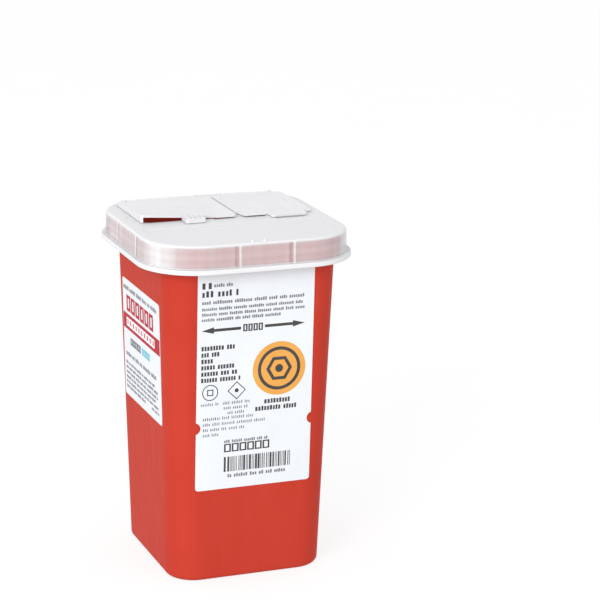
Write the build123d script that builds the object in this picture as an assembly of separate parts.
from build123d import *
import os

# A one-quart sharps container: a tapered bin, a press-on lid and two hinged flaps in the lid.
# Millimetres. X runs across the front, Y towards the back and Z up from the table, with the
# origin under the middle of the bin. A plan is (width, depth, corner radius).

# Bin
BASE_PLAN = (78.2, 82.4, 14.4)
NECK_PLAN = (86.4, 92.2, 13.2)
COLLAR_PLAN = (95.3, 100.1, 23.3)
NECK_Z = 157.8
LEDGE_RISE = 1.6
LEDGE_THICKNESS = 1.2
RIM_Z = 168.1
BIN_WALL = 1.5
FOOT_ROUND = 3.0
FOOT_RECESS = 1.0
FOOT_MARGIN = 7.0
FLOOR_THICKNESS = 1.5
FLOOR_ROUND = 2.0
RIM_BEAD = 0.5
RIM_BEAD_HEIGHT = 1.7
STOP_BEAD = 0.3
STOP_BEAD_Z = 162.4
STOP_BEAD_HEIGHT = 0.8

# Lid
LIP_PLAN = (106.4, 111.4, 28.9)
SKIRT_PLAN = (102.3, 107.1, 26.8)
CROWN_PLAN = (101.5, 106.3, 26.4)
LIP_Z = 156.6
LIP_THICKNESS = 2.4
LIP_ROUND = 0.6
DECK_Z = 170.0
DECK_THICKNESS = 1.6
SKIRT_WALL = 1.5
CROWN_ROUND = 1.2
PANEL_DEPTH = 0.4
PANEL_MARGIN = 5.0
PANEL_BACK_Y = -12.5
RIB_DEPTH = 0.8
RIB_WIDTH = 1.1
FRONT_RIBS_X = (-10.9, 16.0)
SIDE_RIBS_Y = (-18.4, 11.5)
LUG_WIDTH = 5.0
LUG_HEIGHT = 3.0
NUB_RADIUS = 0.9
NUBS_X = (-4.0, 2.0)
VENT_RADIUS = 0.9
VENT_AT = (-45.3, 14.0)
DIP = (-6.0, 21.0, -8.5, 3.0)
DIP_CORNER = 2.0

# Openings in the deck: left, right, front and back edges
DROP_OPENING = (-41.0, 3.5, 0.6, 40.0)
UNWINDER_OPENING = (13.0, 39.5, 4.0, 34.0)
OPENING_CORNER = 4.0
HOOK_SLOT = (23.5, 39.5, -8.6, -6.4)
HOOK_SLOT_CORNER = 1.0

# Flaps and their hinge: a barrel on each flap, with a pin at each end in an ear of the lid
FLAP_THICKNESS = 1.0
FLAP_GAP = 0.3
DROP_FLAP = (-42.3, 6.2, -0.4, 42.9)
UNWINDER_FLAP = (7.4, 45.0, -0.8, 42.9)
FLAP_CORNER = 2.0
UNWINDER_CORNER = 1.2
FLAP_WALL = 0.9
SPRUNG_RISE = 2.8
SPRUNG_END_X = -4.0
TAB = (-22.0, -12.0, -7.6, 0.4)
TAB_HEIGHT = 2.0
TAB_ROUND = 0.7
GRIP_COUNT = 4
GRIP_WIDTH = 1.1
GRIP_HEIGHT = 0.5
TONGUE = (22.0, 40.5, -7.2, 0.5)
TONGUE_CORNER = 1.6
UNWINDER_CHAMFER = (3.0, 8.0)
FLAP_PANEL_DEPTH = 0.3
FLAP_PANEL_MARGIN = 4.0
HINGE_Y = 45.0
HINGE_Z = 170.5
BARREL_RADIUS = 1.0
PIN_RADIUS = 0.7
PIN_CLEARANCE = 0.07
PIN_LENGTH = 2.0
EAR_WIDTH = 1.8
EAR_DEPTH = 2.8
EAR_ROUND = EAR_DEPTH / 3
EAR_GAP = 0.3
EAR_COVER = 0.45
EAR_INSET = 4.0
GROOVE_HALF = 1.4
GROOVE_DEPTH = 0.9

# Needle unwinder, staked under the deck
PLATE = (9.0, 43.5, 0.0, 38.0)
PLATE_GAP = 1.0
PLATE_THICKNESS = 2.2
PLATE_CORNER = 3.0
KEYHOLE_AT = (26.5, 10.7)
KEYHOLE_RADIUS = 6.5
WEDGE_LENGTH = 20.0
WEDGE_WIDE = 6.4
WEDGE_NARROW = 4.6
TOOTH = 0.8
TOOTH_COUNT = 5
STAKE_RADIUS = 1.2
STAKE_CLEARANCE = 0.1
STAKE_MARGIN = 2.1
STAKE_HEAD = 1.6
STAKE_HEAD_HEIGHT = 0.6

# Labels
LABEL_THICKNESS = 0.2
FRONT_LABEL = (-29.2, 29.2, 47.1, 155.4)
SIDE_LABEL = (-28.8, 30.0, 76.8, 137.0)
LABEL_CORNER = 1.5
NOTCH_Z = 78.8
NOTCH_RADIUS = 3.0
NOTCH_DEPTH = 2.2

FAR = 200.0  # longer than the container, for cutters
PIN_CUTTER_OVERRUN = 10.0
NOTCH_CUTTER_DEPTH = 100.0


def section(plan, z, grow=0.0):
    """A plan at height z, grown by the same amount on every side."""
    width, depth, corner = plan
    return Pos(0, 0, z) * RectangleRounded(width + 2 * grow, depth + 2 * grow, corner + grow)


def tapered(low, low_z, high, high_z, grow=0.0):
    """A solid that runs straight from one plan to another."""
    return loft([section(low, low_z, grow), section(high, high_z, grow)])


def band(plan, z, height, grow=0.0):
    """A solid of one plan."""
    return extrude(section(plan, z, grow), height)


def panel(edges, z, height, corner=0.0):
    """A flat plate from its left, right, front and back edges."""
    left, right, front, back = edges
    outline = Rectangle(right - left, back - front)
    if corner > 0:
        outline = RectangleRounded(right - left, back - front, corner)
    return extrude(Pos((left + right) / 2, (front + back) / 2, z) * outline, height)


def rod(radius, start_x, end_x):
    """A cylinder along X on the hinge line."""
    centre = Pos((start_x + end_x) / 2, HINGE_Y, HINGE_Z)
    return centre * Rot(0, 90, 0) * Cylinder(radius, end_x - start_x)


def barrel_ends(flap):
    """Where a flap's barrel starts and ends."""
    return flap[0] + EAR_INSET + EAR_WIDTH, flap[1] - EAR_INSET - EAR_WIDTH


def bin_skin(grow=0.0):
    """The tapered outside of the bin, below its collar."""
    return tapered(BASE_PLAN, 0, NECK_PLAN, NECK_Z, grow)


def make_bin():
    ledge_z = NECK_Z + LEDGE_RISE
    walls = bin_skin()
    walls = fillet(walls.faces().sort_by(Axis.Z)[0].edges(), FOOT_ROUND)
    walls += tapered(NECK_PLAN, NECK_Z, COLLAR_PLAN, ledge_z)
    walls += band(COLLAR_PLAN, ledge_z, RIM_Z - ledge_z)
    walls += band(COLLAR_PLAN, RIM_Z - RIM_BEAD_HEIGHT, RIM_BEAD_HEIGHT, RIM_BEAD)
    walls += band(COLLAR_PLAN, STOP_BEAD_Z, STOP_BEAD_HEIGHT, STOP_BEAD)

    hollow = bin_skin(-BIN_WALL)
    floor_z = FOOT_RECESS + FLOOR_THICKNESS
    hollow -= Box(FAR, FAR, 2 * floor_z)
    hollow = fillet(hollow.faces().sort_by(Axis.Z)[0].edges(), FLOOR_ROUND)
    hollow += band(NECK_PLAN, NECK_Z, LEDGE_THICKNESS, -BIN_WALL)
    inner_ledge_z = NECK_Z + LEDGE_THICKNESS
    hollow += tapered(NECK_PLAN, inner_ledge_z, COLLAR_PLAN, ledge_z + LEDGE_THICKNESS, -BIN_WALL)
    hollow += band(COLLAR_PLAN, ledge_z + LEDGE_THICKNESS, FAR, -BIN_WALL)
    recess = band(BASE_PLAN, -FOOT_RECESS, 2 * FOOT_RECESS, -FOOT_MARGIN)
    return walls - hollow - recess


def skirt_ribs():
    """Guide ribs inside the skirt, two on each side, and a short lug at each corner."""
    half_width = CROWN_PLAN[0] / 2 - SKIRT_WALL
    half_depth = CROWN_PLAN[1] / 2 - SKIRT_WALL
    foot = LIP_Z + LIP_THICKNESS
    height = DECK_Z - DECK_THICKNESS - foot
    reach = 2 * RIB_DEPTH
    ribs = []
    for side in (-1, 1):
        for x in FRONT_RIBS_X:
            ribs.append(Pos(x, side * half_depth, foot + height / 2) * Box(RIB_WIDTH, reach, height))
        for y in SIDE_RIBS_Y:
            ribs.append(Pos(side * half_width, y, foot + height / 2) * Box(reach, RIB_WIDTH, height))
    corner = CROWN_PLAN[2] - SKIRT_WALL
    for x_side in (-1, 1):
        for y_side in (-1, 1):
            centre_x = x_side * (half_width - corner)
            centre_y = y_side * (half_depth - corner)
            angle = {(1, 1): 45, (-1, 1): 135, (-1, -1): 225, (1, -1): 315}[(x_side, y_side)]
            lug = Pos(corner, 0, foot + LUG_HEIGHT / 2) * Box(reach, LUG_WIDTH, LUG_HEIGHT)
            ribs.append(Pos(centre_x, centre_y, 0) * Rot(0, 0, angle) * lug)
    return ribs


def hinge_ears(flap):
    """Two round-topped ears on the deck, bored for a flap's pins."""
    start_x, end_x = barrel_ends(flap)
    top = HINGE_Z + PIN_RADIUS + PIN_CLEARANCE + EAR_COVER
    foot = DECK_Z - DECK_THICKNESS
    ears = []
    for x in (start_x - EAR_WIDTH / 2, end_x + EAR_WIDTH / 2):
        ear = Pos(x, HINGE_Y, (foot + top) / 2) * Box(EAR_WIDTH, EAR_DEPTH, top - foot)
        top_edges = ear.faces().sort_by(Axis.Z)[-1].edges().filter_by(Axis.X)
        ears.append(fillet(top_edges, EAR_ROUND))
    return ears


def make_lid():
    shell = tapered(SKIRT_PLAN, LIP_Z, CROWN_PLAN, DECK_Z)
    shell = fillet(shell.faces().sort_by(Axis.Z)[-1].edges(), CROWN_ROUND)
    lip = band(LIP_PLAN, LIP_Z, LIP_THICKNESS)
    lip_faces = lip.faces().sort_by(Axis.Z)
    lip = fillet(lip_faces[0].edges() + lip_faces[-1].edges(), LIP_ROUND)
    underside = DECK_Z - DECK_THICKNESS
    shell += lip
    shell -= tapered(SKIRT_PLAN, LIP_Z, CROWN_PLAN, underside, -SKIRT_WALL)
    for rib in skirt_ribs():
        shell += rib

    front_panel = band(CROWN_PLAN, DECK_Z - PANEL_DEPTH, FAR, -PANEL_MARGIN)
    front_panel -= Pos(0, PANEL_BACK_Y + FAR / 2, DECK_Z) * Box(FAR, FAR, 3 * FAR)
    shell -= front_panel
    shell -= panel(DIP, DECK_Z - PANEL_DEPTH, FAR, DIP_CORNER)
    for x in NUBS_X:
        shell += Pos(x, PANEL_MARGIN / 2 - CROWN_PLAN[1] / 2, DECK_Z) * Sphere(NUB_RADIUS)

    for flap in (DROP_FLAP, UNWINDER_FLAP):
        start_x, end_x = barrel_ends(flap)
        groove_edges = (start_x - EAR_GAP, end_x + EAR_GAP, HINGE_Y - GROOVE_HALF, HINGE_Y + GROOVE_HALF)
        for ear in hinge_ears(flap):
            shell += ear
        shell -= panel(groove_edges, DECK_Z - GROOVE_DEPTH, FAR)
        shell -= rod(PIN_RADIUS + PIN_CLEARANCE, start_x - PIN_CUTTER_OVERRUN, end_x + PIN_CUTTER_OVERRUN)

    shell -= panel(DROP_OPENING, LIP_Z, FAR, OPENING_CORNER)
    shell -= panel(UNWINDER_OPENING, LIP_Z, FAR, OPENING_CORNER)
    shell -= panel(HOOK_SLOT, LIP_Z + LIP_THICKNESS, FAR, HOOK_SLOT_CORNER)
    shell -= Pos(VENT_AT[0], VENT_AT[1], DECK_Z) * Cylinder(VENT_RADIUS, 3 * DECK_THICKNESS)
    for x, y in stake_places():
        length = PLATE_THICKNESS
        shell += Pos(x, y, underside - length / 2) * Cylinder(STAKE_RADIUS, length)
        head_z = underside - PLATE_THICKNESS - STAKE_HEAD_HEIGHT / 2
        shell += Pos(x, y, head_z) * Cylinder(STAKE_HEAD, STAKE_HEAD_HEIGHT)
    return shell


def add_hinge(flap_plate, flap):
    """Joins a flap's plate to its barrel and gives the barrel its two pins."""
    start_x, end_x = barrel_ends(flap)
    start_x += EAR_GAP
    end_x -= EAR_GAP
    web = (start_x, end_x, flap[3] - FLAP_CORNER, HINGE_Y)
    flap_plate += panel(web, DECK_Z + FLAP_GAP, FLAP_THICKNESS)
    flap_plate += rod(BARREL_RADIUS, start_x, end_x)
    flap_plate += rod(PIN_RADIUS, start_x - PIN_LENGTH, end_x + PIN_LENGTH)
    return flap_plate


def flap_section(y, rise):
    """The drop flap's thickness at one depth, with its left end lifted."""
    left, right = DROP_FLAP[0], DROP_FLAP[1]
    low = DECK_Z + FLAP_GAP
    high = low + FLAP_THICKNESS
    corners = [
        (left, y, low + rise),
        (SPRUNG_END_X, y, low),
        (right, y, low),
        (right, y, high),
        (SPRUNG_END_X, y, high),
        (left, y, high + rise),
    ]
    return make_face(Polyline(*corners, close=True))


def left_wall(low):
    """The wall that closes the wedge under the drop flap's lifted left edge."""
    left, right, front, back = DROP_FLAP
    middle = low + FLAP_THICKNESS / 2
    outline = Polyline(
        (left, front, low),
        (left, back, low),
        (left, back, middle),
        (left, front, middle + SPRUNG_RISE),
        close=True,
    )
    return extrude(make_face(outline), FLAP_WALL, (1, 0, 0))


def make_drop_flap():
    """The left flap: sprung up at its free corner, with a ribbed finger tab in front."""
    front, back = DROP_FLAP[2], DROP_FLAP[3]
    low = DECK_Z + FLAP_GAP
    plate = loft([flap_section(front, SPRUNG_RISE), flap_section(back, 0)], ruled=True)
    plate += left_wall(low)
    plate &= panel(DROP_FLAP, DECK_Z, FAR, FLAP_CORNER)
    tab = panel(TAB, low, TAB_HEIGHT)
    tab = fillet(tab.edges().filter_by(Axis.Z), TAB_ROUND)
    plate += tab
    pitch = (TAB[1] - TAB[0]) / GRIP_COUNT
    grip_depth = TAB[3] - TAB[2] - 2 * TAB_ROUND
    for i in range(GRIP_COUNT):
        x = TAB[0] + pitch * (i + 0.5)
        grip = Box(GRIP_WIDTH, grip_depth, 2 * GRIP_HEIGHT)
        plate += Pos(x, (TAB[2] + TAB[3]) / 2, low + TAB_HEIGHT) * grip
    return add_hinge(plate, DROP_FLAP)


def make_unwinder_flap():
    """The right flap: one front corner cut off, a tongue in front and a shallow panel on top."""
    left, right, front, back = UNWINDER_FLAP
    cut_x, cut_y = UNWINDER_CHAMFER
    low = DECK_Z + FLAP_GAP
    outline = Polyline(
        (left, front + cut_y),
        (left + cut_x, front),
        (right, front),
        (right, back),
        (left, back),
        close=True,
    )
    plate = extrude(Pos(0, 0, low) * make_face(outline), FLAP_THICKNESS)
    plate = fillet(plate.edges().filter_by(Axis.Z), UNWINDER_CORNER)
    plate += panel(TONGUE, low, FLAP_THICKNESS, TONGUE_CORNER)
    inner = (left + cut_x, right - FLAP_PANEL_MARGIN, front + cut_y, back - FLAP_PANEL_MARGIN)
    plate -= panel(inner, low + FLAP_THICKNESS - FLAP_PANEL_DEPTH, FAR, FLAP_CORNER)
    return add_hinge(plate, UNWINDER_FLAP)


def stake_places():
    """The four places where the deck's stakes pass through the unwinder."""
    left, right, front, back = PLATE
    xs = (left + STAKE_MARGIN, right - STAKE_MARGIN)
    ys = (front + STAKE_MARGIN, back - STAKE_MARGIN)
    return [(x, y) for x in xs for y in ys]


def make_needle_unwinder():
    """A stiff plate with a keyhole that narrows to a toothed wedge for a needle hub."""
    top = DECK_Z - DECK_THICKNESS
    plate = panel(PLATE, top - PLATE_THICKNESS, PLATE_THICKNESS, PLATE_CORNER)
    plate &= band(COLLAR_PLAN, LIP_Z, FAR, -BIN_WALL - PLATE_GAP)
    x, y = KEYHOLE_AT
    deep = 3 * PLATE_THICKNESS
    plate -= Pos(x, y, top) * Cylinder(KEYHOLE_RADIUS, deep)
    wedge = Polyline(
        (x - WEDGE_WIDE / 2, y),
        (x + WEDGE_WIDE / 2, y),
        (x + WEDGE_NARROW / 2, y + WEDGE_LENGTH),
        (x - WEDGE_NARROW / 2, y + WEDGE_LENGTH),
        close=True,
    )
    plate -= extrude(Pos(0, 0, top - deep / 2) * make_face(wedge), deep)
    plate -= Pos(x, y + WEDGE_LENGTH, top) * Cylinder(WEDGE_NARROW / 2, deep)
    pitch = (WEDGE_LENGTH - KEYHOLE_RADIUS) / TOOTH_COUNT
    for i in range(TOOTH_COUNT):
        tooth_y = y + KEYHOLE_RADIUS + pitch * (i + 0.5)
        share = (tooth_y - y) / WEDGE_LENGTH
        edge = (WEDGE_WIDE + (WEDGE_NARROW - WEDGE_WIDE) * share) / 2
        for side in (-1, 1):
            notch = Rot(0, 0, 45) * Box(TOOTH, TOOTH, deep)
            plate -= Pos(x + side * edge, tooth_y, top) * notch
    for stake_x, stake_y in stake_places():
        plate -= Pos(stake_x, stake_y, top) * Cylinder(STAKE_RADIUS + STAKE_CLEARANCE, deep)
    return plate


def label_skin():
    """A thin skin over the tapered outside of the bin."""
    return bin_skin(LABEL_THICKNESS) - bin_skin()


def make_front_label():
    """The front label, with a round bite out of each side edge."""
    left, right, low, high = FRONT_LABEL
    outline = RectangleRounded(right - left, high - low, LABEL_CORNER)
    mask = Plane.XZ * (Pos((left + right) / 2, (low + high) / 2) * outline)
    label = label_skin() & extrude(mask, FAR)
    for x in (left, right):
        side = 1 if x > 0 else -1
        centre_x = x + side * (NOTCH_RADIUS - NOTCH_DEPTH)
        cutter = Cylinder(NOTCH_RADIUS, NOTCH_CUTTER_DEPTH)
        label -= Pos(centre_x, -NOTCH_CUTTER_DEPTH / 2, NOTCH_Z) * Rot(90, 0, 0) * cutter
    return label


def make_side_label():
    """The label on the left side, which reaches round into the back corner."""
    front, back, low, high = SIDE_LABEL
    outline = RectangleRounded(back - front, high - low, LABEL_CORNER)
    mask = Plane.YZ * (Pos((front + back) / 2, (low + high) / 2) * outline)
    return label_skin() & extrude(mask, -FAR)


PARTS = {
    "bin": make_bin,
    "lid": make_lid,
    "drop_flap": make_drop_flap,
    "unwinder_flap": make_unwinder_flap,
    "needle_unwinder": make_needle_unwinder,
    "front_label": make_front_label,
    "side_label": make_side_label,
}

os.makedirs("parts", exist_ok=True)
for name, make in PARTS.items():
    export_step(make(), f"parts/{name}.step")
